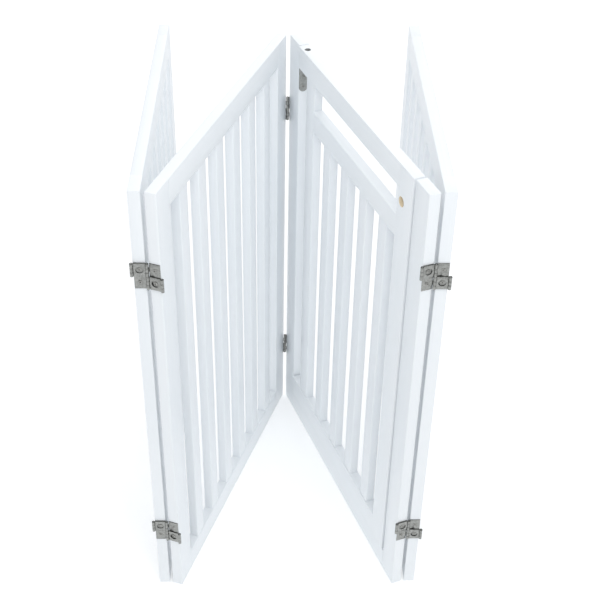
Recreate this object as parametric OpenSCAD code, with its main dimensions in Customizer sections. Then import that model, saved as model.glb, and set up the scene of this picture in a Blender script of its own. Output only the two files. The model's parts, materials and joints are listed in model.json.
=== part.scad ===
// Folding wooden pet gate: four slatted panels standing in a zigzag, joined by double-action
// screen hinges, with a walk-through door hung on two pivot pins inside the third panel.
// A panel is drawn in its own frame: X from its left face through its thickness,
// Y from its front end along its width, Z up. Panels 1 to 4 run from left to right.

/* [Gate] */
// Height of every panel
gate_h = 800; // [790:1:810]
// Width of every panel
panel_w = 523; // [520:1:528]
// Thickness of the boards
board_t = 17.5; // [17:0.5:18.5]
// Angle between the two middle panels
v_angle = 40; // [30:1:60]
// Angle between panels 1 and 2
left_angle = 19.5; // [12:0.5:30]
// Angle between panels 3 and 4
right_angle = 20; // [12:0.5:30]

/* [Plain panels] */
// Width of a panel's stiles
stile_w = 42; // [38:1:46]
// Height of the top and bottom rails
rail_h = 42; // [38:1:46]
// Slats in each plain panel
slat_count = 6; // [5:1:6]
// Width of a slat
slat_w = 27; // [23:1:30]
// Thickness of a slat, set in the middle of its panel's thickness
slat_t = 15; // [12:0.5:15.5]
// Gap between a panel's stiles and its end slats
end_gap = 35; // [30:1:40]

/* [Door] */
// Gap around the door
door_gap = 3; // [2.5:0.5:4]
// How far the door stands proud of its frame's left face
door_proud = 2; // [0:0.5:2.5]
// Height of the sill under the door
sill_h = 40; // [36:1:44]
// Width of the door's front stile
door_stile_w = 43; // [40:1:46]
// Height of the door's bottom rail
door_foot_h = 43; // [38:1:46]
// Height of the door's top rail
door_head_h = 38; // [36:1:44]
// Height of the hand slot under the top rail
slot_h = 47; // [40:1:50]
// Height of the middle rail under the slot
door_mid_h = 37; // [32:1:40]
// Slats in the door, not counting the upright
door_slat_count = 4; // [3:1:4]
// Gap between the front stile and the first door slat
first_gap = 32; // [26:1:36]
// Width of the door's upright, as thick as the slats
upright_w = 34; // [30:1:38]
// Open bay between the door's upright and its frame
bay_w = 34; // [30:1:36]
// Diameter of the hole for a knob in the front stile
knob_hole_d = 16; // [10:1:20]

/* [Hinges] */
// Height of the lower hinges' centres
hinge_low_z = 135; // [110:1:160]
// Height of the upper hinges' centres
hinge_high_z = 662; // [620:1:690]
// Height of a hinge
hinge_h = 44; // [42:1:50]
// Diameter of a hinge barrel
barrel_d = 4.9; // [4.6:0.1:5]
// Distance from a panel's faces to the axes of its hinge barrels
barrel_side = 2.2; // [2:0.1:2.4]
// Diameter of a hinge pin
pin_d = 2.3; // [2:0.1:2.5]
// Thickness of a hinge leaf
leaf_t = 1.2; // [1:0.1:1.2]

/* [Door pivot] */
// Distance from the frame's back stile to the door's pivot
pivot_inset = 20; // [19.5:0.5:21]
// Diameter of the pin in the top rail
top_pin_d = 10; // [8:0.2:10]
// Diameter of the pin in the bottom rail
foot_pin_d = 6; // [5:0.5:8]
// Width of the bracket
bracket_w = 15; // [14:1:16]
// Height of the bracket's upright leg
bracket_h = 44; // [36:1:46]
// Thickness of the bracket
bracket_t = 1.6; // [1.2:0.2:1.6]

/* [Hidden] */
$fn = 48;
white = [0.94, 0.95, 0.97];
nickel = [0.66, 0.65, 0.62];

// hinge barrels stand this far from a panel's end
barrel_off = barrel_d / 2 + 0.3;
barrel_r = barrel_d / 2;
// the leaves are narrower than the board, so that they clear the barrels
leaf_inset = barrel_r - barrel_side + 0.25;
running = 0.05;
pin_r = pin_d / 2;
pin_hole_r = pin_r + running;
leaf_gap = 0.3;
hinge_zs = [hinge_low_z, hinge_high_z];

// each half of a hinge has three knuckles
row_gap = 0.3;
row_h = (hinge_h / 2 - 3 * row_gap) / 3;
row_pitch = row_h + row_gap;
half_h = 3 * row_h + 2 * row_gap;

// screws: one under the raised leaf's window, one in the half of the base leaf left bare
screw_shank_r = 1.4;
screw_hole_r = screw_shank_r + running;
screw_depth = 14;
screw_head_r = 3;
screw_head_h = 0.9;
window_r = 5.5;
window_screw = [board_t / 2, hinge_h / 4];
bare_screw = [board_t / 2, -hinge_h / 4];

// plain panel
inner_w = panel_w - 2 * stile_w;
slat_pitch = (inner_w - 2 * end_gap - slat_w) / (slat_count - 1);
slat_inset = (board_t - slat_t) / 2;

// door, in panel 3's frame
door_x = -door_proud;
door_front = stile_w + door_gap;
door_back = panel_w - stile_w - door_gap;
door_base = sill_h + door_gap;
door_inner = door_front + door_stile_w;
upright_y = door_back - bay_w - upright_w;
first_slat_y = door_inner + first_gap;
door_pitch = (upright_y - first_slat_y) / door_slat_count;
head_z = gate_h - door_head_h;
mid_top = head_z - slot_h;
mid_z = mid_top - door_mid_h;
foot_top = door_base + door_foot_h;
knob_hole = [door_inner - 11.5, gate_h - 56.5];

// door pivot, in panel 3's frame
pivot = [door_x + board_t / 2, panel_w - stile_w - pivot_inset];
bracket_x = (board_t - bracket_w) / 2 - 1;
bracket_top = head_z - 2;
bracket_foot = bracket_top - bracket_h;
bracket_face = panel_w - stile_w;
top_pin_r = top_pin_d / 2;
foot_pin_r = foot_pin_d / 2;
pin_step = 0.2;
bracket_screw_zs = [bracket_foot + 9, bracket_foot + 27];

// panel yaws, positive clockwise seen from above
yaws = [v_angle / 2 - left_angle, v_angle / 2, -v_angle / 2, right_angle - v_angle / 2];
function turn(p, yaw) = [p.x * cos(yaw) + p.y * sin(yaw), p.y * cos(yaw) - p.x * sin(yaw)];

// barrel axes in a panel's frame
near_left = [-barrel_side, -barrel_off];
near_right = [board_t + barrel_side, -barrel_off];
far_left = [-barrel_side, panel_w + barrel_off];
far_right = [board_t + barrel_side, panel_w + barrel_off];

// front corners of the panels, first with the apex barrel at the origin
start_2 = -turn(far_right, yaws[1]);
start_3 = -turn(far_left, yaws[2]);
start_1 = start_2 + turn(near_left, yaws[1]) - turn(near_right, yaws[0]);
start_4 = start_3 + turn(near_right, yaws[2]) - turn(near_left, yaws[3]);
starts = [start_1, start_2, start_3, start_4];

// the standing gate's footprint, from the outermost barrels and panel corners to its centre
left_x = start_1.x + turn(near_left, yaws[0]).x - barrel_r;
right_x = start_4.x + turn(near_right, yaws[3]).x + barrel_r;
front_y = start_2.y + turn(near_right, yaws[1]).y - barrel_r;
back_y = max([for (p = [0, 3]) for (x = [0, board_t]) starts[p].y + turn([x, panel_w], yaws[p]).y]);
centre = [(left_x + right_x) / 2, (front_y + back_y) / 2];

plain = [1, 2, 4];
panels = [1, 2, 3, 4];

// places its children in a panel's frame
module in_panel(p) {
    translate(starts[p - 1] - centre)
        rotate([0, 0, -yaws[p - 1]])
            children();
}

// a board between two corners
module board(low, high) {
    translate(low)
        cube(high - low);
}

// a rod along Y
module rod_y(x, y, z, r, length) {
    translate([x, y, z])
        rotate([-90, 0, 0])
            cylinder(h = length, r = r);
}

// ---- double-action hinges, drawn on a front end face whose lower left corner is the origin ----

// at each hinge on one end of a panel; the left panel of a pair has the left half,
// and the right panel has the same half turned end over end
module at_hinges(back = false) {
    for (z = hinge_zs)
        translate([back ? board_t : 0, back ? panel_w : 0, z])
            rotate([0, 0, back ? 180 : 0])
                children();
}

module left_half() {
    children();
}

module right_half() {
    translate([board_t, 0, 0])
        rotate([0, 180, 0])
            children();
}

// every hinge half on a panel: panel 1 has one, panels 2 and 3 have two, panel 4 has one
module hinge_halves(p) {
    if (p == 1 || p == 3)
        at_hinges()
            left_half() children();
    if (p == 2 || p == 4)
        at_hinges()
            right_half() children();
    if (p == 3)
        at_hinges(back = true)
            left_half() children();
    if (p == 2)
        at_hinges(back = true)
            right_half() children();
}

// one knuckle around a barrel axis at x, in row 0 to 2 of the upper half, with its tab
// joining the leaf between depths y0 and y1
module knuckle(x, row, y0, y1) {
    z = row_gap / 2 + row * row_pitch;
    inward = x < 0 ? 1 : -1;
    tab = barrel_side + leaf_inset + 0.5;
    difference() {
        union() {
            translate([x, -barrel_off, z])
                cylinder(h = row_h, r = barrel_r);
            translate([inward > 0 ? x : x - tab, y0, z])
                cube([tab, y1 - y0, row_h]);
        }
        translate([x, -barrel_off, z - 1])
            cylinder(h = row_h + 2, r = pin_hole_r);
    }
}

module lower(z = 0) {
    mirror([0, 0, 1])
        children();
}

// base leaf: fixed to the end face, full height, one knuckle in the middle row of each half
module base_leaf() {
    difference() {
        board([leaf_inset, -leaf_t, -hinge_h / 2], [board_t - leaf_inset, 0, hinge_h / 2]);
        for (s = [window_screw, bare_screw])
            rod_y(s.x, -leaf_t - 1, s.y, screw_hole_r, leaf_t + 2);
    }
    knuckle(-barrel_side, 1, -leaf_t, -barrel_off + barrel_r);
    lower()
        knuckle(board_t + barrel_side, 1, -leaf_t, -barrel_off + barrel_r);
}

// raised leaf: lies over the base leaf's upper half, with knuckles in the outer rows
module raised_leaf() {
    y1 = -leaf_t - leaf_gap;
    difference() {
        board([leaf_inset, y1 - leaf_t, row_gap / 2], [board_t - leaf_inset, y1, row_gap / 2 + half_h]);
        rod_y(window_screw.x, y1 - leaf_t - 1, window_screw.y, window_r, leaf_t + 2);
    }
    for (x = [-barrel_side, board_t + barrel_side])
        for (row = [0, 2])
            knuckle(x, row, y1 - leaf_t, y1);
}

// the outer barrel's pin is in the upper half; the shared barrel's pin runs the full height
module outer_pin() {
    translate([-barrel_side, -barrel_off, row_gap / 2])
        cylinder(h = half_h, r = pin_r);
}

module shared_pin() {
    translate([board_t + barrel_side, -barrel_off, -row_gap / 2 - half_h])
        cylinder(h = 2 * half_h + row_gap, r = pin_r);
}

// wood screw driven along +Y, with a flat round head on the surface at y
module screw(s, y) {
    rod_y(s.x, y - screw_head_h, s.y, screw_head_r, screw_head_h);
    rod_y(s.x, y - 0.1, s.y, screw_shank_r, screw_depth);
}

module hinge_screws() {
    for (s = [window_screw, bare_screw])
        screw(s, -leaf_t);
}

module hinge_screw_holes() {
    for (s = [window_screw, bare_screw])
        rod_y(s.x, -1, s.y, screw_hole_r, screw_depth + 1);
}

// ---- boards of a plain panel ----

module stile(p, back) {
    y = back ? panel_w - stile_w : 0;
    difference() {
        board([0, y, 0], [board_t, y + stile_w, gate_h]);
        hinge_halves(p) hinge_screw_holes();
    }
}

module rail(top) {
    z = top ? gate_h - rail_h : 0;
    board([0, stile_w, z], [board_t, panel_w - stile_w, z + rail_h]);
}

module slat(i) {
    y = stile_w + end_gap + (i - 1) * slat_pitch;
    board([slat_inset, y, rail_h], [board_t - slat_inset, y + slat_w, gate_h - rail_h]);
}

// ---- door frame and door ----

module bracket_screw_holes() {
    for (z = bracket_screw_zs)
        rod_y(bracket_x + bracket_w / 2, bracket_face - bracket_t - 1, z, screw_hole_r, screw_depth + 1);
}

module door_frame_back_stile() {
    difference() {
        stile(3, true);
        bracket_screw_holes();
    }
}

module door_frame_sill() {
    difference() {
        board([0, stile_w, 0], [board_t, panel_w - stile_w, sill_h]);
        translate([pivot.x, pivot.y, sill_h / 2 - 1])
            cylinder(h = sill_h, r = foot_pin_r + running);
    }
}

// a board of the door between two places along its width and two heights, set in from both faces
module door_board(y0, y1, z0, z1, inset = 0) {
    board([door_x + inset, y0, z0], [door_x + board_t - inset, y1, z1]);
}

module door_front_stile() {
    difference() {
        door_board(door_front, door_inner, door_base, gate_h);
        translate([door_x - 1, knob_hole.x, knob_hole.y])
            rotate([0, 90, 0])
                cylinder(h = board_t + 2, d = knob_hole_d);
    }
}

module door_back_upright() {
    door_board(upright_y, upright_y + upright_w, foot_top, head_z, slat_inset);
}

module door_top_rail() {
    difference() {
        door_board(door_inner, door_back, head_z, gate_h);
        translate([pivot.x, pivot.y, head_z - 1])
            cylinder(h = door_head_h + 2, r = top_pin_r + running);
    }
}

module door_middle_rail() {
    door_board(door_inner, upright_y, mid_z, mid_top);
}

module door_bottom_rail() {
    difference() {
        door_board(door_inner, door_back, door_base, foot_top);
        translate([pivot.x, pivot.y, door_base - 1])
            cylinder(h = 26, r = foot_pin_r + running);
    }
}

module door_slat(i) {
    y = first_slat_y + (i - 1) * door_pitch;
    door_board(y, y + slat_w, foot_top, mid_z, slat_inset);
}

// ---- door pivot ----

// a strip with one round end, drawn in XY from the straight end at y = 0
module tongue(length) {
    linear_extrude(bracket_t) {
        translate([0, bracket_w / 2])
            square([bracket_w, length - bracket_w / 2]);
        translate([bracket_w / 2, bracket_w / 2])
            circle(d = bracket_w);
    }
}

// the leg on the frame hangs down with a round end, and the shelf reaches under the top rail
module pivot_bracket() {
    shelf = bracket_face - pivot.y + bracket_w / 2 + 1;
    difference() {
        union() {
            translate([bracket_x, bracket_face, bracket_foot])
                rotate([90, 0, 0])
                    tongue(bracket_h);
            translate([bracket_x, bracket_face - shelf, bracket_top - bracket_t])
                tongue(shelf);
        }
        bracket_screw_holes();
        translate([pivot.x, pivot.y, bracket_top - bracket_t - 1])
            cylinder(h = bracket_t + 2, r = foot_pin_r + running);
    }
}

// upper pin: a stud riveted loosely in the bracket's shelf; lower pin: a rod with a collar
module door_pivot_pins() {
    stud_base = bracket_top + pin_step;
    rivet_top = bracket_top - bracket_t - pin_step;
    translate([pivot.x, pivot.y, 0]) {
        translate([0, 0, stud_base])
            cylinder(h = gate_h - 12 - stud_base, r = top_pin_r);
        translate([0, 0, rivet_top - 1])
            cylinder(h = stud_base - rivet_top + 1, r = foot_pin_r);
        translate([0, 0, rivet_top - 1])
            cylinder(h = 1, r = foot_pin_r + 1.5);
        translate([0, 0, sill_h / 2])
            cylinder(h = sill_h / 2 + door_gap + 22, r = foot_pin_r);
        translate([0, 0, sill_h + pin_step])
            cylinder(h = door_gap - 2 * pin_step, r = foot_pin_r + 3);
    }
}

// panel 3 also holds the bracket's two screws
module panel_screws(p) {
    hinge_halves(p) hinge_screws();
    if (p == 3)
        for (z = bracket_screw_zs)
            screw([bracket_x + bracket_w / 2, z], bracket_face - bracket_t);
}

// the left half of a hinge carries the shared pin as well as its outer one
module panel_pins(p) {
    hinge_halves(p) outer_pin();
    if (p == 1 || p == 3)
        at_hinges() shared_pin();
    if (p == 3)
        at_hinges(back = true) shared_pin();
}

for (p = plain) {
    color(white) in_panel(p) stile(p, false);
    color(white) in_panel(p) stile(p, true);
    color(white) in_panel(p) rail(true);
    color(white) in_panel(p) rail(false);
    for (i = [1:slat_count])
        color(white) in_panel(p) slat(i);
}
color(white) in_panel(3) stile(3, false);  // door_frame_front_stile
color(white) in_panel(3) door_frame_back_stile();
color(white) in_panel(3) door_frame_sill();
color(white) in_panel(3) door_front_stile();
color(white) in_panel(3) door_back_upright();
color(white) in_panel(3) door_top_rail();
color(white) in_panel(3) door_middle_rail();
color(white) in_panel(3) door_bottom_rail();
for (i = [1:door_slat_count])
    color(white) in_panel(3) door_slat(i);
color(nickel) in_panel(3) pivot_bracket();
color(nickel) in_panel(3) door_pivot_pins();
for (p = panels) {
    color(nickel) in_panel(p) hinge_halves(p) base_leaf();
    color(nickel) in_panel(p) hinge_halves(p) raised_leaf();
    color(nickel) in_panel(p) panel_pins(p);
    color(nickel) in_panel(p) panel_screws(p);
}
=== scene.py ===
"""The looks of a folding wooden pet gate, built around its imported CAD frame.

Each CAD node gets one visible piece in the same place. Boards are the CAD solids with rounded
arrises and white satin paint. Hinge leaves are plates with rolled knuckles, screws have threads
and cross recesses, and pins have turned ends. Every place is measured from the CAD nodes.
"""

import json
import math
import random

import bmesh
import bpy
from mathutils import Matrix, Vector


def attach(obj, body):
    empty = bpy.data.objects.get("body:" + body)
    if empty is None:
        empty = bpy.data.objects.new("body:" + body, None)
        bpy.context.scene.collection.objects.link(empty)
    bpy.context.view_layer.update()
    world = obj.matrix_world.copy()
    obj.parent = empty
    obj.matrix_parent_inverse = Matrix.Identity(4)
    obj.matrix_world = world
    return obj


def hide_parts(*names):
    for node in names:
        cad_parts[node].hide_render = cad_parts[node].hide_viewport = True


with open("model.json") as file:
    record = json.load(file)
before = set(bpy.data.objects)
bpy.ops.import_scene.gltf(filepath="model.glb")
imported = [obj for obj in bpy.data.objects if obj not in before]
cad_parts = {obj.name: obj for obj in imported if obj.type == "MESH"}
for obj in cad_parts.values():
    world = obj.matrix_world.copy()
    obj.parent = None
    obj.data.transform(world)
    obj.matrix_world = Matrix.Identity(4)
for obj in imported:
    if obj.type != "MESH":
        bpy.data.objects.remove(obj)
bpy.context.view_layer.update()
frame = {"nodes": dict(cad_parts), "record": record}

MM = 0.001
NODES = frame["nodes"]
BODIES = frame["record"]["behaviour"]["bodies"]
BODY_OF = {node: body for body, members in BODIES.items() for node in members}
RANDOM = random.Random(7)

# how near two points are one, how near a point is on a face, and how level an edge is
WELD = 0.002 * MM
TOUCH = 0.01 * MM
LEVEL = 0.001 * MM

# angles between faces: flat, in radians, and a crease and a metal edge to round, in degrees
FLAT = 0.002
CREASE = 32
METAL_EDGE = 40

# boards
ARRIS_ROUND = 1.2 * MM
JOINT_ROUND = 0.1 * MM
HOLE_ROUND = 0.5 * MM
JOINT_MARGIN = 1.5 * ARRIS_ROUND
ALONG_WIDTH, UPRIGHT = 1, 2

# hinges: the front ones are within FRONT_ZONE of the front, and the slit is in degrees
FRONT_ZONE = 100 * MM
LEAF_T = 1.2 * MM
LEAF_GAP = 0.3 * MM
BARREL_R = 2.45 * MM
BARREL_OFF = 2.75 * MM
BARREL_SIDE = 2.2 * MM
LEAF_INSET = 0.5 * MM
BORE_R = 1.2 * MM
ROW_GAP = 0.3 * MM
ROLL_DEPTH = 0.3 * MM
ROLL_SLIT = 9
LEAF_LAP = 0.6 * MM
WINDOW_R = 5.5 * MM
SCREW_HOLE_R = 1.6 * MM
METAL_ROUND = 0.16 * MM

# screws
HEAD_R = 3.0 * MM
HEAD_H = 0.9 * MM
SHANK_R = 1.4 * MM
ROOT_R = 1.0 * MM
THREAD_PITCH = 1.25 * MM
NECK_H = 1.6 * MM
TIP_H = 2.2 * MM

# hinge pins
PIN_CHAMFER = 0.25 * MM

# the stage, in metres
FLOOR_REACH = 9
FLOOR_AT = (0, 1.5, -0.2 * MM)

# the camera, in metres, degrees and millimetres
CAMERA_AT = Vector((-0.03226, -1.58557, 1.64316))
CAMERA_YAW = 1.913
CAMERA_PITCH = 37.584
CAMERA_ROLL = 1.202
CAMERA_LENS = 70.766


# ---- places, measured from the CAD nodes ----

class Panel:
    """A panel's axes, from its front left corner: X through it, Y along its width, Z up."""

    def __init__(self, stile, rail):
        solid = solid_of(rail)
        along = max((e.verts[1].co - e.verts[0].co for e in solid.edges), key=flat_length)
        solid.free()
        along = Vector((along.x, along.y, 0)).normalized()
        if along.y < 0:
            along.negate()
        across = Vector((along.y, -along.x, 0))
        points = [v.co for v in NODES[stile].data.vertices]
        corner = across * min(p.dot(across) for p in points) + along * min(p.dot(along) for p in points)
        turn = Matrix((across, along, (0, 0, 1))).transposed().to_4x4()
        self.matrix = Matrix.Translation(corner) @ turn
        self.inverse = self.matrix.inverted()
        box = [self.inverse @ p for p in points]
        self.thickness = max(p.x for p in box)

    def box(self, points):
        local = [self.inverse @ p for p in points]
        low = Vector([min(p[i] for p in local) for i in range(3)])
        high = Vector([max(p[i] for p in local) for i in range(3)])
        return low, high


def flat_length(vector):
    """The length of a level vector, or 0 for one that isn't level."""
    return math.hypot(vector.x, vector.y) if abs(vector.z) < LEVEL else 0.0


def islands(node):
    """The separate solids in a CAD node, each as a list of points."""
    bm = solid_of(node)
    left = set(bm.verts)
    found = []
    while left:
        stack = [left.pop()]
        members = []
        while stack:
            v = stack.pop()
            members.append(v.co.copy())
            for e in v.link_edges:
                other = e.other_vert(v)
                if other in left:
                    left.remove(other)
                    stack.append(other)
        found.append(members)
    bm.free()
    return sorted(found, key=lambda points: tuple(round(sum(c) / len(points), 4) for c in zip(*points)))


def solid_of(node):
    """A CAD node's solid, welded, with its flat faces whole."""
    bm = bmesh.new()
    bm.from_mesh(NODES[node].data)
    bmesh.ops.remove_doubles(bm, verts=bm.verts, dist=WELD)
    bmesh.ops.dissolve_limit(bm, angle_limit=FLAT, verts=bm.verts, edges=bm.edges)
    return bm


# ---- mesh helpers ----

def add_object(name, bm):
    mesh = bpy.data.meshes.new(name)
    bmesh.ops.recalc_face_normals(bm, faces=bm.faces)
    bm.to_mesh(mesh)
    bm.free()
    obj = bpy.data.objects.new(name, mesh)
    bpy.context.scene.collection.objects.link(obj)
    return obj


def apply_modifiers(obj):
    depsgraph = bpy.context.evaluated_depsgraph_get()
    mesh = bpy.data.meshes.new_from_object(obj.evaluated_get(depsgraph), depsgraph=depsgraph)
    old = obj.data
    obj.modifiers.clear()
    obj.data = mesh
    bpy.data.meshes.remove(old)
    mesh.name = obj.name
    return obj


def round_edges(obj, width, segments=2, angle=None):
    """Rounds the edges sharper than an angle, or those with a bevel weight."""
    bevel = obj.modifiers.new("round", "BEVEL")
    bevel.width = width
    bevel.segments = segments
    bevel.limit_method = "WEIGHT" if angle is None else "ANGLE"
    if angle is not None:
        bevel.angle_limit = math.radians(angle)
    bevel.use_clamp_overlap = True
    bevel.harden_normals = True
    return apply_modifiers(obj)


def crease(bm):
    """Smooth shading, with the sharp edges kept crisp."""
    for f in bm.faces:
        f.smooth = True
    for e in bm.edges:
        e.smooth = e.calc_face_angle(0) < math.radians(CREASE)


def set_vectors(obj, name, values):
    attribute = obj.data.attributes.new(name, "FLOAT_VECTOR", "POINT")
    attribute.data.foreach_set("vector", [c for v in values for c in v])


def dress(obj, node, slot, *materials):
    """Gives a piece its materials and its body, in place of one CAD node; slot is not used."""
    for material in materials:
        obj.data.materials.append(material)
    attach(obj, BODY_OF[node])
    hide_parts(node)
    return obj


# ---- shader helpers ----

def new_material(name):
    material = bpy.data.materials.new(name)
    material.use_nodes = True
    tree = material.node_tree
    return material, tree, tree.nodes["Principled BSDF"]


def add_node(tree, kind, inputs=(), **settings):
    made = tree.nodes.new(kind)
    for key, value in settings.items():
        setattr(made, key, value)
    for key, value in dict(inputs).items():
        if isinstance(value, bpy.types.NodeSocket):
            tree.links.new(value, made.inputs[key])
        else:
            made.inputs[key].default_value = value
    return made


def attribute(tree, name):
    return add_node(tree, "ShaderNodeAttribute", attribute_name=name).outputs["Vector"]


def object_place(tree):
    return add_node(tree, "ShaderNodeTexCoord").outputs["Object"]


def noise(tree, place, size, stretch=(1, 1, 1), detail=2.0, roughness=0.5):
    """Noise from 0 to 1 whose blobs are about size across, in metres, stretched along each axis."""
    scale = [1 / (size * s) for s in stretch]
    mapped = add_node(tree, "ShaderNodeMapping", {"Vector": place, "Scale": scale})
    inputs = {"Vector": mapped.outputs[0], "Scale": 1.0, "Detail": detail, "Roughness": roughness}
    return add_node(tree, "ShaderNodeTexNoise", inputs).outputs["Fac"]


def calc(tree, operation, a, b):
    return add_node(tree, "ShaderNodeMath", {0: a, 1: b}, operation=operation).outputs[0]


def blend(tree, a, b, share):
    """A weighted mean of two values, where share is the first one's weight."""
    return calc(tree, "ADD", calc(tree, "MULTIPLY", a, share), calc(tree, "MULTIPLY", b, 1 - share))


def remap(tree, value, low, high, to_low=0.0, to_high=1.0):
    """Maps low to high onto to_low to to_high, with smooth ends. Low may be the larger."""
    inputs = {"Value": value, "From Min": low, "From Max": high, "To Min": to_low, "To Max": to_high}
    made = add_node(tree, "ShaderNodeMapRange", inputs, interpolation_type="SMOOTHSTEP")
    return made.outputs["Result"]


def mix(tree, factor, a, b):
    made = add_node(tree, "ShaderNodeMix", {0: factor}, data_type="RGBA")
    for socket, value in ((made.inputs[6], a), (made.inputs[7], b)):
        if isinstance(value, bpy.types.NodeSocket):
            tree.links.new(value, socket)
        else:
            socket.default_value = (*value, 1.0)
    return made.outputs[2]


def bump(tree, height, depth, strength=1.0, under=None):
    inputs = {"Height": height, "Distance": depth, "Strength": strength}
    if under is not None:
        inputs["Normal"] = under
    return add_node(tree, "ShaderNodeBump", inputs).outputs["Normal"]


def arris_distance(tree):
    """How far a point is from its board's nearest long arris, by the farther of its two long faces."""
    centred = {0: attribute(tree, "board_place")}
    place = add_node(tree, "ShaderNodeVectorMath", centred, operation="ABSOLUTE")
    sides = {0: attribute(tree, "board_half"), 1: place.outputs[0]}
    inward = add_node(tree, "ShaderNodeVectorMath", sides, operation="SUBTRACT")
    parts = add_node(tree, "ShaderNodeSeparateXYZ", {0: inward.outputs[0]}).outputs
    return calc(tree, "MAXIMUM", parts[0], parts[1])


# ---- materials ----

def white_paint():
    """Satin white paint, brushed along each board over faint grain, and thin at the arrises."""
    material, tree, shader = new_material("white_satin_paint")
    grain_place = attribute(tree, "board_grain")
    grain = noise(tree, grain_place, 3.5 * MM, (0.6, 1, 40), detail=4, roughness=0.6)
    brush = noise(tree, grain_place, 0.7 * MM, (1, 1, 60), detail=2)
    peel = noise(tree, grain_place, 1.6 * MM, detail=1)
    cloud = noise(tree, grain_place, 90 * MM, (1, 1, 3), detail=3)
    tone = remap(tree, blend(tree, cloud, grain, 0.65), 0.3, 0.7)
    body = mix(tree, tone, (0.842, 0.878, 0.908), (0.878, 0.906, 0.930))
    patches = noise(tree, grain_place, 14 * MM, (1, 1, 4), detail=3, roughness=0.65)
    near_edge = remap(tree, arris_distance(tree), 1.6 * MM, 0.3 * MM)
    thin = calc(tree, "MULTIPLY", near_edge, remap(tree, patches, 0.52, 0.74))
    worn = mix(tree, calc(tree, "MULTIPLY", thin, 0.35), body, (0.80, 0.80, 0.77))
    tree.links.new(worn, shader.inputs["Base Color"])
    gloss = blend(tree, brush, patches, 0.5)
    tree.links.new(remap(tree, gloss, 0.25, 0.75, 0.30, 0.44), shader.inputs["Roughness"])
    relief = bump(tree, grain, 0.10 * MM, 0.55)
    relief = bump(tree, brush, 0.035 * MM, 0.6, relief)
    relief = bump(tree, peel, 0.05 * MM, 0.4, relief)
    tree.links.new(relief, shader.inputs["Normal"])
    shader.inputs["Specular IOR Level"].default_value = 0.5
    return material


def raw_wood():
    """Bare wood on the wall of the knob hole, with streaks of grain and dark pores."""
    material, tree, shader = new_material("bare_wood")
    place = attribute(tree, "board_grain")
    grain = noise(tree, place, 1.1 * MM, (1, 1, 9), detail=4, roughness=0.6)
    pores = noise(tree, place, 0.35 * MM, (1, 1, 3), detail=1)
    body = mix(tree, remap(tree, grain, 0.3, 0.7), (0.76, 0.65, 0.47), (0.90, 0.82, 0.66))
    dark = calc(tree, "MULTIPLY", remap(tree, pores, 0.58, 0.75), 0.5)
    tree.links.new(mix(tree, dark, body, (0.56, 0.45, 0.30)), shader.inputs["Base Color"])
    tree.links.new(remap(tree, grain, 0.2, 0.8, 0.62, 0.85), shader.inputs["Roughness"])
    tree.links.new(bump(tree, pores, 0.1 * MM, 0.6), shader.inputs["Normal"])
    return material


def dark_bore():
    """The wall of the pin's hole in the door's top rail, coloured dark grey as painted shade of the deep
    hole.
    """
    material, tree, shader = new_material("bore_painted_shade")
    place = attribute(tree, "board_grain")
    shade_mottle = noise(tree, place, 2 * MM, detail=3)
    body = mix(tree, remap(tree, shade_mottle, 0.3, 0.7), (0.26, 0.27, 0.275), (0.42, 0.43, 0.435))
    tree.links.new(body, shader.inputs["Base Color"])
    tree.links.new(remap(tree, shade_mottle, 0.3, 0.7, 0.45, 0.7), shader.inputs["Roughness"])
    return material


def metal(name, dark, light, streak, rough):
    """Metal with fine lines, stretched by streak, and with tarnish, dark specks and uneven gloss."""
    material, tree, shader = new_material(name)
    place = object_place(tree)
    lines = noise(tree, place, 0.16 * MM, streak, detail=2)
    tarnish = noise(tree, place, 2.6 * MM, detail=4, roughness=0.62)
    specks = noise(tree, place, 0.5 * MM, detail=2)
    body = mix(tree, remap(tree, tarnish, 0.32, 0.68), dark, light)
    spots = calc(tree, "MULTIPLY", remap(tree, specks, 0.62, 0.74), 0.35)
    tree.links.new(mix(tree, spots, body, (0.16, 0.15, 0.12)), shader.inputs["Base Color"])
    shader.inputs["Metallic"].default_value = 1.0
    gloss = blend(tree, lines, tarnish, 0.5)
    tree.links.new(remap(tree, gloss, 0.3, 0.7, rough - 0.08, rough + 0.1), shader.inputs["Roughness"])
    relief = bump(tree, lines, 0.012 * MM, 0.5)
    tree.links.new(bump(tree, tarnish, 0.03 * MM, 0.35, relief), shader.inputs["Normal"])
    return material


PAINT = white_paint()
BARE_WOOD = raw_wood()
# painted shade: the pin hole's wall is coloured dark grey
SHADED_BORE = dark_bore()
NICKEL = metal("satin_nickel", (0.28, 0.285, 0.272), (0.42, 0.425, 0.41), (1, 1, 30), 0.36)
# painted shade: a near-black metal for the leaves' end faces and hole walls
PAINTED_SHADE_METAL = metal("metal_painted_shade", (0.05, 0.05, 0.047), (0.11, 0.11, 0.104), (1, 1, 1), 0.5)
SCREW_METAL = metal("screw_nickel", (0.30, 0.30, 0.285), (0.44, 0.44, 0.42), (1, 1, 1), 0.32)


# ---- boards ----

class Board:
    """A board's box in its panel's axes. Its length runs along the axis of that number."""

    def __init__(self, node, panel, length_axis):
        self.node = node
        self.panel = panel
        self.length_axis = length_axis
        self.low, self.high = panel.box([v.co for v in NODES[node].data.vertices])

    def holds(self, point):
        return all(self.low[i] - TOUCH < point[i] < self.high[i] + TOUCH for i in range(3))

    def touches(self, other):
        return all(self.low[i] < other.high[i] + TOUCH and other.low[i] < self.high[i] + TOUCH
                   for i in range(3))

    def edge_axis(self, a, b):
        """The axis that an edge follows if it lies on one of the box's twelve, or None."""
        held = [i for i in range(3) for side in (self.low, self.high)
                if abs(a[i] - side[i]) < TOUCH and abs(b[i] - side[i]) < TOUCH]
        free = {0, 1, 2} - set(held)
        return free.pop() if len(held) == 2 and len(free) == 1 else None

    def is_side(self, face):
        return any(all(abs(v.co[i] - side[i]) < TOUCH for v in face.verts)
                   for i in range(3) for side in (self.low, self.high))


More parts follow.
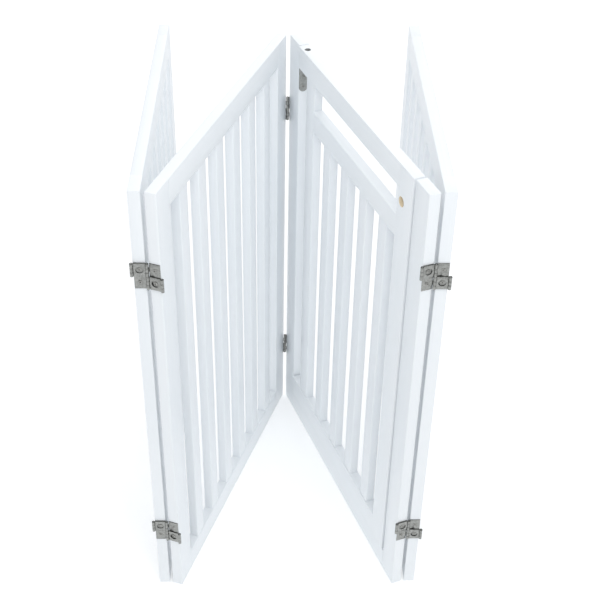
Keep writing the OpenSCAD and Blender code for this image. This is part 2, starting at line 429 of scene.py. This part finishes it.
def joined_boards(board, boards):
    """The boards that touch this one and are fixed to it."""
    body = BODY_OF[board.node]
    fixed = [other for other in boards if other is not board and BODY_OF[other.node] == body]
    return [other for other in fixed if other.panel is board.panel and board.touches(other)]


def cut_at_joints(bm, board, joined):
    """Cuts the board's faces across where each joint starts and ends, and a little beside it."""
    i = board.length_axis
    places = set()
    for other in joined:
        places |= {round(other.low[i], 6), round(other.low[i] - JOINT_MARGIN, 6)}
        places |= {round(other.high[i], 6), round(other.high[i] + JOINT_MARGIN, 6)}
    for place in sorted(places):
        if board.low[i] + ARRIS_ROUND < place < board.high[i] - ARRIS_ROUND:
            at = [place if k == i else 0.0 for k in range(3)]
            along = [1.0 if k == i else 0.0 for k in range(3)]
            geometry = bm.verts[:] + bm.edges[:] + bm.faces[:]
            bmesh.ops.bisect_plane(bm, geom=geometry, dist=1e-7, plane_co=at, plane_no=along)


def make_board(board, boards, hole_material=None):
    """A board with rounded arrises, which are almost sharp where another board is glued on."""
    joined = joined_boards(board, boards)
    bm = solid_of(board.node)
    bm.transform(board.panel.inverse)
    cut_at_joints(bm, board, joined)
    weight = bm.edges.layers.float.new("bevel_weight_edge")
    for f in bm.faces:
        f.smooth = True
        f.material_index = 1 if hole_material and not board.is_side(f) else 0
    for e in bm.edges:
        a, b = (v.co for v in e.verts)
        if board.edge_axis(a, b) is not None:
            covered = any(other.holds((a + b) / 2) for other in joined)
            e[weight] = JOINT_ROUND / ARRIS_ROUND if covered else 1.0
        elif e.calc_face_angle(0) > math.radians(CREASE):
            e.smooth = False
            e[weight] = HOLE_ROUND / ARRIS_ROUND if hole_material else 0.0
    bm.transform(board.panel.matrix)
    obj = round_edges(add_object(board.node + "_board", bm), ARRIS_ROUND, segments=3)
    measure_board(obj, board)
    materials = [PAINT, hole_material] if hole_material else [PAINT]
    return dress(obj, board.node, "paint", *materials)


def measure_board(obj, board):
    """Stores each point's place in its board for the paint: two short axes, then its length."""
    centre = (board.low + board.high) / 2
    order = [i for i in range(3) if i != board.length_axis] + [board.length_axis]
    shift = Vector([RANDOM.uniform(-5, 5) for _ in range(3)])
    placed = []
    for v in obj.data.vertices:
        local = board.panel.inverse @ v.co - centre
        placed.append(Vector([local[i] for i in order]))
    half = Vector([(board.high[i] - board.low[i]) / 2 for i in order])
    set_vectors(obj, "board_place", placed)
    set_vectors(obj, "board_grain", [p + shift for p in placed])
    set_vectors(obj, "board_half", [half] * len(placed))


def panel_of(node, panels):
    """The panel a board is in: the door and its frame are panel 3."""
    return panels[3] if node.startswith("door") else panels[int(node.split("_")[1])]


def make_boards(panels):
    lying = ("_rail", "_sill")
    boards = []
    for node in sorted(n for n in NODES if n.endswith(("_stile", "_upright") + lying) or "_slat_" in n):
        axis = ALONG_WIDTH if node.endswith(lying) else UPRIGHT
        boards.append(Board(node, panel_of(node, panels), axis))
    # the knob hole's wall is bare wood; the pin hole's wall is painted shade
    hole_materials = {"door_front_stile": BARE_WOOD, "door_top_rail": SHADED_BORE}
    for board in boards:
        make_board(board, boards, hole_materials.get(board.node))


# ---- hinges ----

def arc(centre, radius, start, end, steps):
    """Points on an arc in the XY plane, from one angle to another, in degrees."""
    turn = [math.radians(start + (end - start) * i / steps) for i in range(steps + 1)]
    return [(centre[0] + radius * math.cos(t), centre[1] + radius * math.sin(t)) for t in turn]


def prism(outline, z0, z1):
    """An upright solid of an outline in the XY plane."""
    bm = bmesh.new()
    base = bm.faces.new([bm.verts.new((x, y, z0)) for x, y in outline])
    top = bmesh.ops.extrude_face_region(bm, geom=[base])["geom"]
    top_verts = [v for v in top if isinstance(v, bmesh.types.BMVert)]
    bmesh.ops.translate(bm, verts=top_verts, vec=(0, 0, z1 - z0))
    return bm


def plate(low, high):
    corners = [(low[0], low[1]), (high[0], low[1]), (high[0], high[1]), (low[0], high[1])]
    return prism(corners, low[2], high[2])


def drill(x, z, radius, y0, y1):
    """A round tool along Y, to cut a hole with."""
    bm = prism(arc((0, 0), radius, 0, 360 - 360 / 40, 39), 0, y1 - y0)
    bm.transform(Matrix.Translation((x, y1, z)) @ Matrix.Rotation(math.radians(90), 4, "X"))
    return bm


def combine(name, base, adds=(), cuts=()):
    """One closed solid: the base, joined with some solids and cut by others."""
    obj = add_object(name, base)
    tools = []
    for operation, solids in (("UNION", adds), ("DIFFERENCE", cuts)):
        for solid in solids:
            tool = add_object(name + "_tool", solid)
            boolean = obj.modifiers.new("join", "BOOLEAN")
            boolean.operation = operation
            boolean.solver = "EXACT"
            boolean.object = tool
            tools.append(tool)
    apply_modifiers(obj)
    for tool in tools:
        bpy.data.objects.remove(tool)
    return obj


def knuckle(x, strip_low, strip_high, z0, z1):
    """A strip between two depths, rolled round a barrel axis beside the leaf, with a slit at its end."""
    side = 1 if x < 0 else -1
    low = strip_low + BARREL_OFF
    high = min(strip_high + BARREL_OFF, BARREL_R)
    start = math.degrees(math.asin(high / BARREL_R))
    slit = math.degrees(math.asin(low / BARREL_R)) - ROLL_SLIT
    reach = BARREL_SIDE + LEAF_INSET + LEAF_LAP
    outline = [(reach, low), (reach, high)]
    outline += arc((0, 0), BARREL_R, start, 360 + slit, 30)
    outline += arc((0, 0), BORE_R, 360 + slit, start, 24)
    inner = max(BORE_R * math.cos(math.radians(start)), 0.2 * MM)
    if low > BORE_R:
        outline.append((inner, low))
    placed = [(x + side * u, v - BARREL_OFF) for u, v in outline]
    return prism(placed, z0, z1)


def half_rows(height):
    """The lowest and highest Z of the three knuckle rows in a hinge's upper half."""
    row = (height / 2 - 3 * ROW_GAP) / 3
    lows = [ROW_GAP / 2 + i * (row + ROW_GAP) for i in range(3)]
    return [(low, low + row) for low in lows]


def base_leaf(width, height):
    """The full-height leaf on the wood, with a knuckle high on its left and one low on its right."""
    low_row, high_row = half_rows(height)[1]
    knuckles = [knuckle(-BARREL_SIDE, -LEAF_T, -ROLL_DEPTH, low_row, high_row),
                knuckle(width + BARREL_SIDE, -LEAF_T, -ROLL_DEPTH, -high_row, -low_row)]
    holes = [drill(width / 2, height / 4, SCREW_HOLE_R, -LEAF_T - MM, MM),
             drill(width / 2, -height / 4, SCREW_HOLE_R, -LEAF_T - MM, MM)]
    leaf = plate((LEAF_INSET, -LEAF_T, -height / 2), (width - LEAF_INSET, 0, height / 2))
    return combine("base_leaf", leaf, knuckles, holes)


def raised_leaf(width, height):
    """The half-height leaf over the upper half, with a window for the screw, and knuckles in two rows."""
    rows = half_rows(height)
    back = -LEAF_T - LEAF_GAP
    knuckles = [knuckle(x, back - LEAF_T, back, *rows[i])
                for x in (-BARREL_SIDE, width + BARREL_SIDE) for i in (0, 2)]
    window = drill(width / 2, height / 4, WINDOW_R, back - LEAF_T - MM, back + MM)
    leaf = plate((LEAF_INSET, back - LEAF_T, rows[0][0]), (width - LEAF_INSET, back, rows[2][1]))
    return combine("raised_leaf", leaf, knuckles, [window])


def paint_shade_on_ends(leaf, hole, radius):
    """Gives a leaf's end faces, up and down, and the wall of its hole the second metal, near black:
    painted shade of the gaps between the leaves and of the window.
    """
    for f in leaf.data.polygons:
        across = Vector((f.center.x - hole.x, 0, f.center.z - hole.z))
        in_hole = across.length < radius + 0.05 * MM and abs(f.normal.y) < 0.5
        f.material_index = 1 if in_hole or abs(f.normal.z) > 0.9 else 0


def half_places(p, panel):
    """Each hinge half on a panel, as the matrix that moves a leaf there from the front end face."""
    places = []
    raised_leaves = islands(f"panel_{p}_hinge_raised_leaves")
    base_leaves = islands(f"panel_{p}_hinge_base_leaves")
    for raised, base in zip(raised_leaves, base_leaves):
        raised_low, raised_high = panel.box(raised)
        base_low, base_high = panel.box(base)
        middle = (base_low.z + base_high.z) / 2
        at_back = base_low.y > FRONT_ZONE
        flipped = (raised_low.z + raised_high.z) / 2 < middle
        depth = base_low.y if at_back else base_high.y
        place = Matrix.Translation((panel.thickness / 2, depth, middle))
        if at_back:
            place = place @ Matrix.Rotation(math.pi, 4, "Z")
        if flipped:
            place = place @ Matrix.Rotation(math.pi, 4, "Y")
        places.append(panel.matrix @ place @ Matrix.Translation((-panel.thickness / 2, 0, 0)))
    return places


def copies(node, template, places):
    """One mesh with a template's mesh at each place."""
    bm = bmesh.new()
    for place in places:
        before = set(bm.verts)
        bm.from_mesh(template.data)
        bmesh.ops.transform(bm, matrix=place, verts=[v for v in bm.verts if v not in before])
    crease(bm)
    return add_object(node + "_metal", bm)


# ---- screws and pins ----

def lathe(rings, columns, radius_at):
    """A closed turned solid down Z, with a flat cap at each end. Its radius may vary round a ring."""
    bm = bmesh.new()
    loops = []
    for ring in rings:
        loop = []
        for c in range(columns):
            angle = 2 * math.pi * c / columns
            r, z = radius_at(ring, angle)
            loop.append(bm.verts.new((r * math.cos(angle), r * math.sin(angle), z)))
        loops.append(loop)
    for a, b in zip(loops, loops[1:]):
        for c in range(columns):
            d = (c + 1) % columns
            bm.faces.new((a[c], a[d], b[d], b[c]))
    bm.faces.new(loops[0])
    bm.faces.new(loops[-1])
    return bm


def screw_radius(ring, angle):
    """A screw's radius and height at an angle. A ring with no radius is on the thread."""
    radius, z = ring
    if radius is not None:
        return radius, z
    phase = (z / THREAD_PITCH - angle / (2 * math.pi)) % 1.0
    ridge = max(0.0, 1 - abs(phase - 0.5) * 3.2)
    return ROOT_R + (SHANK_R - ROOT_R) * ridge, z


def cross_recess():
    """A tapered cross for the driver, pointing down from above the head."""
    half_top, half_foot, slot_half = 1.75 * MM, 0.75 * MM, 0.34 * MM
    top, foot = HEAD_H + 0.2 * MM, -0.7 * MM
    solids = []
    for turn in (0, 90):
        outline = [(-half_top, top), (half_top, top), (half_foot, foot), (-half_foot, foot)]
        arm = prism(outline, -slot_half, slot_half)
        stand = Matrix.Rotation(math.radians(90), 4, "X")
        arm.transform(Matrix.Rotation(math.radians(turn), 4, "Z") @ stand)
        solids.append(arm)
    return solids


def make_screw_template(length):
    """A wood screw with its head's underside at Z 0, its head upwards and its thread downwards."""
    head = [(HEAD_R * math.sin(math.radians(t)), HEAD_H * (0.35 + 0.65 * math.cos(math.radians(t))))
            for t in (8, 25, 45, 65, 82, 90)]
    rings = head + [(HEAD_R, 0.05 * MM), (HEAD_R - 0.05 * MM, 0.0)]
    rings += [(SHANK_R, 0.0), (SHANK_R, -NECK_H)]
    thread_start = -NECK_H - 0.3 * MM
    thread_end = TIP_H - length
    steps = 46
    rings += [(None, thread_start + (thread_end - thread_start) * i / steps) for i in range(steps + 1)]
    rings += [(0.55 * MM, thread_end - 1.3 * MM), (0.08 * MM, thread_end - 2.1 * MM)]
    return combine("screw", lathe(rings, 24, screw_radius), cuts=cross_recess())


def screw_places(p, panel):
    """Each screw on a panel, as the matrix that sets the template in its hole, turned by chance."""
    places = []
    for points in islands(f"panel_{p}_screws"):
        local = [panel.inverse @ q for q in points]
        low, high = panel.box(points)
        wide_at_low = spread([q for q in local if q.y - low.y < 0.1 * MM])
        head_low = wide_at_low > HEAD_R + SHANK_R
        under_head = low.y + HEAD_H if head_low else high.y - HEAD_H
        tilt = math.radians(90 if head_low else -90)
        centre = Vector(((low.x + high.x) / 2, under_head, (low.z + high.z) / 2))
        turn = Matrix.Rotation(RANDOM.uniform(0, math.pi / 2), 4, "Z")
        places.append(panel.matrix @ Matrix.Translation(centre) @ Matrix.Rotation(tilt, 4, "X") @ turn)
    return places


def spread(points):
    return max(q.x for q in points) - min(q.x for q in points)


def make_pins(node):
    """Hinge pins, each a rod with chamfered ends."""
    bm = bmesh.new()
    for points in islands(node):
        xs, ys, zs = ([q[i] for q in points] for i in range(3))
        radius = (max(xs) - min(xs)) / 2
        low, high = min(zs), max(zs)
        end_r = radius - PIN_CHAMFER
        rings = [(end_r, high), (radius, high - PIN_CHAMFER), (radius, low + PIN_CHAMFER), (end_r, low)]
        rod = lathe(rings, 32, lambda ring, angle: ring)
        rod.transform(Matrix.Translation(((max(xs) + min(xs)) / 2, (max(ys) + min(ys)) / 2, 0)))
        mesh = bpy.data.meshes.new("rod")
        rod.to_mesh(mesh)
        rod.free()
        bm.from_mesh(mesh)
        bpy.data.meshes.remove(mesh)
    crease(bm)
    return add_object(node + "_metal", bm)


def make_hinges(panels):
    width = panels[1].thickness
    low, high = panels[1].box(islands("panel_1_hinge_base_leaves")[0])
    height = high.z - low.z
    window = Vector((width / 2, 0, height / 4))
    base = round_edges(base_leaf(width, height), METAL_ROUND, angle=METAL_EDGE)
    paint_shade_on_ends(base, window, SCREW_HOLE_R)
    raised = round_edges(raised_leaf(width, height), METAL_ROUND, angle=METAL_EDGE)
    paint_shade_on_ends(raised, window, WINDOW_R)
    for p, panel in panels.items():
        places = half_places(p, panel)
        node = f"panel_{p}_hinge_base_leaves"
        dress(copies(node, base, places), node, "nickel", NICKEL, PAINTED_SHADE_METAL)
        node = f"panel_{p}_hinge_raised_leaves"
        dress(copies(node, raised, places), node, "nickel", NICKEL, PAINTED_SHADE_METAL)
        node = f"panel_{p}_hinge_pins"
        dress(make_pins(node), node, "nickel", NICKEL)
    for template in (base, raised):
        bpy.data.objects.remove(template)


def make_screws(panels):
    low, high = panels[1].box(islands("panel_1_screws")[0])
    template = make_screw_template(high.y - low.y - HEAD_H)
    for p, panel in panels.items():
        node = f"panel_{p}_screws"
        dress(copies(node, template, screw_places(p, panel)), node, "screw", SCREW_METAL)
    bpy.data.objects.remove(template)


# ---- door pivot ----

def make_eased(node, width):
    """The CAD solid with its sharp edges rounded."""
    obj = add_object(node + "_metal", solid_of(node))
    for f in obj.data.polygons:
        f.use_smooth = True
    return dress(round_edges(obj, width, angle=METAL_EDGE), node, "nickel", NICKEL)


# ---- stage, light and camera ----

def make_floor():
    bm = bmesh.new()
    bmesh.ops.create_grid(bm, x_segments=4, y_segments=4, size=FLOOR_REACH)
    floor = add_object("studio_floor", bm)
    floor.location = FLOOR_AT
    material, _, shader = new_material("pale_floor")
    shader.inputs["Base Color"].default_value = (0.93, 0.935, 0.94, 1)
    shader.inputs["Roughness"].default_value = 0.9
    shader.inputs["Specular IOR Level"].default_value = 0.1
    shader.inputs["Emission Color"].default_value = (1, 1, 1, 1)
    shader.inputs["Emission Strength"].default_value = 0.25
    floor.data.materials.append(material)


def add_area_light(name, at, target, size, watts):
    data = bpy.data.lights.new(name, "AREA")
    data.shape = "DISK"
    data.size = size
    data.energy = watts
    light = bpy.data.objects.new(name, data)
    light.location = at
    light.rotation_mode = "QUATERNION"
    light.rotation_quaternion = (Vector(target) - Vector(at)).to_track_quat("-Z", "Y")
    bpy.context.scene.collection.objects.link(light)


def make_lights():
    world = bpy.data.worlds.new("studio")
    bpy.context.scene.world = world
    world.use_nodes = True
    background = world.node_tree.nodes["Background"]
    background.inputs["Color"].default_value = (0.97, 0.985, 1.0, 1)
    background.inputs["Strength"].default_value = 0.70
    add_area_light("overhead", at=(0, 0.15, 1.6), target=(0, 0.15, 0.4), size=0.8, watts=1.2)
    add_area_light("front_key", at=(0.1, -1, 1.8), target=(0, 0, 0.6), size=0.8, watts=5.2)
    add_area_light("front_right", at=(1.2, -2, 2.4), target=(0, 0, 0.4), size=1.4, watts=6)
    add_area_light("backdrop", at=(0, 3.2, 1.6), target=(0, 0, 0.6), size=3, watts=26)


def make_camera():
    data = bpy.data.cameras.new("camera")
    data.lens = CAMERA_LENS
    data.sensor_width = 36
    yaw, pitch, roll = (math.radians(a) for a in (CAMERA_YAW, CAMERA_PITCH, CAMERA_ROLL))
    aim = Matrix.Rotation(-yaw, 4, "Z") @ Matrix.Rotation(math.pi / 2 - pitch, 4, "X")
    camera = bpy.data.objects.new("camera", data)
    camera.matrix_world = Matrix.Translation(CAMERA_AT) @ aim @ Matrix.Rotation(roll, 4, "Z")
    bpy.context.scene.collection.objects.link(camera)
    bpy.context.scene.camera = camera


PANELS = {p: Panel(f"panel_{p}_front_stile", f"panel_{p}_top_rail") for p in (1, 2, 4)}
PANELS[3] = Panel("door_frame_front_stile", "door_frame_sill")
make_camera()
make_boards(PANELS)
make_hinges(PANELS)
make_screws(PANELS)
make_eased("pivot_bracket", 0.3 * MM)
make_eased("door_pivot_pins", 0.4 * MM)
make_floor()
make_lights()
bpy.context.scene.view_settings.view_transform = "Standard"
